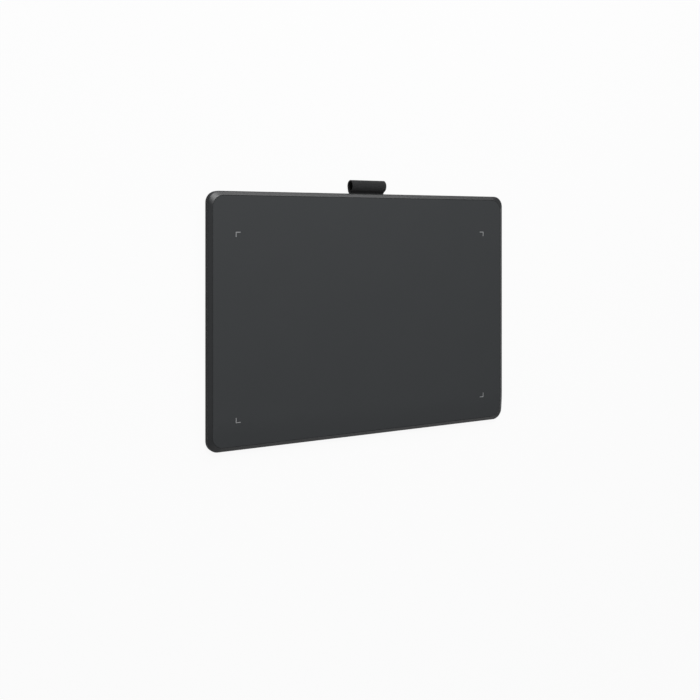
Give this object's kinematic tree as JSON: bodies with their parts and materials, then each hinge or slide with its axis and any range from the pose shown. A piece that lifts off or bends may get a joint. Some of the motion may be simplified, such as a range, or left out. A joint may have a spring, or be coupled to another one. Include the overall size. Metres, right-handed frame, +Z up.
{
  "type": "graphics tablet",
  "caption": "Slim black pen tablet with a bevelled rim, a front lip, marked drawing area and a woven pen loop at the rear edge.",
  "frame": {"origin": "under the middle of the whole tablet with its pen loop, on the surface that the feet rest on", "axes": "+X along the long side to the user's right, +Y to the rear edge with the pen loop, +Z up out of the drawing face"},
  "size_m": [0.261, 0.1976, 0.0107],
  "materials": {
    "cover_plastic": "fine moulded texture",
    "key_plastic": "fine moulded texture",
    "sheet_plastic": "fine paper-like grain",
    "foot_rubber": "matt",
    "loop_fabric": "tight woven tape",
    "fastener_steel": "zinc plated",
    "shield_steel": "satin",
    "circuit_laminate": "solder mask",
    "chip_resin": "moulded",
    "module_steel": "tin plated",
    "connector_resin": "moulded",
    "port_resin": "moulded",
    "plunger_resin": "moulded",
    "flex_film": "polyimide",
    "bond_film": "tape",
    "cell_foil": "embossed foil",
    "wire_sheath": "smooth",
    "light_plastic": "clear"
  },
  "bodies": {
    "housing": {"battery_header": "connector_resin", "battery_lead": "wire_sheath", "battery_pack": "cell_foil", "battery_plug": "connector_resin", "battery_tape": "bond_film", "board_screws": "fastener_steel", "bonding_sheet": "bond_film", "bottom_cover": "cover_plastic", "clamp_screws": "fastener_steel", "control_board": "circuit_laminate", "drawing_sheet": "sheet_plastic", "flex_cable": "flex_film", "flex_socket": "connector_resin", "foot_front_left": "foot_rubber", "foot_front_right": "foot_rubber", "foot_rear_left": "foot_rubber", "foot_rear_right": "foot_rubber", "front_cover": "cover_plastic", "housing_screws": "fastener_steel", "light_pipe": "light_plastic", "loop_clamp_bar": "fastener_steel", "pen_loop_tail": "loop_fabric", "port_blade": "port_resin", "port_shell": "shield_steel", "power_switch": "chip_resin", "processor_chip": "chip_resin", "radio_module": "module_steel", "sensor_board": "circuit_laminate", "sensor_chips": "chip_resin", "shield_plate": "shield_steel", "status_lamp": "connector_resin"},
    "power_key": {"power_key": "key_plastic", "switch_plunger": "plunger_resin"},
    "pen_loop": {"pen_loop": "loop_fabric"}
  },
  "joints": [
    {"name": "power_key_press", "type": "slide", "parent": "housing", "child": "power_key", "axis": [0, -1, 0], "range_m": [0, 0.0004], "stiffness_N_per_m": 1500, "springref_m": -0.0003},
    {"name": "pen_loop_flex", "type": "hinge", "parent": "housing", "child": "pen_loop", "pos_m": [0, 0.08945, 0.0052], "axis": [1, 0, 0], "range_deg": [-12, 25], "stiffness_Nm_per_rad": 0.004}
  ]
}
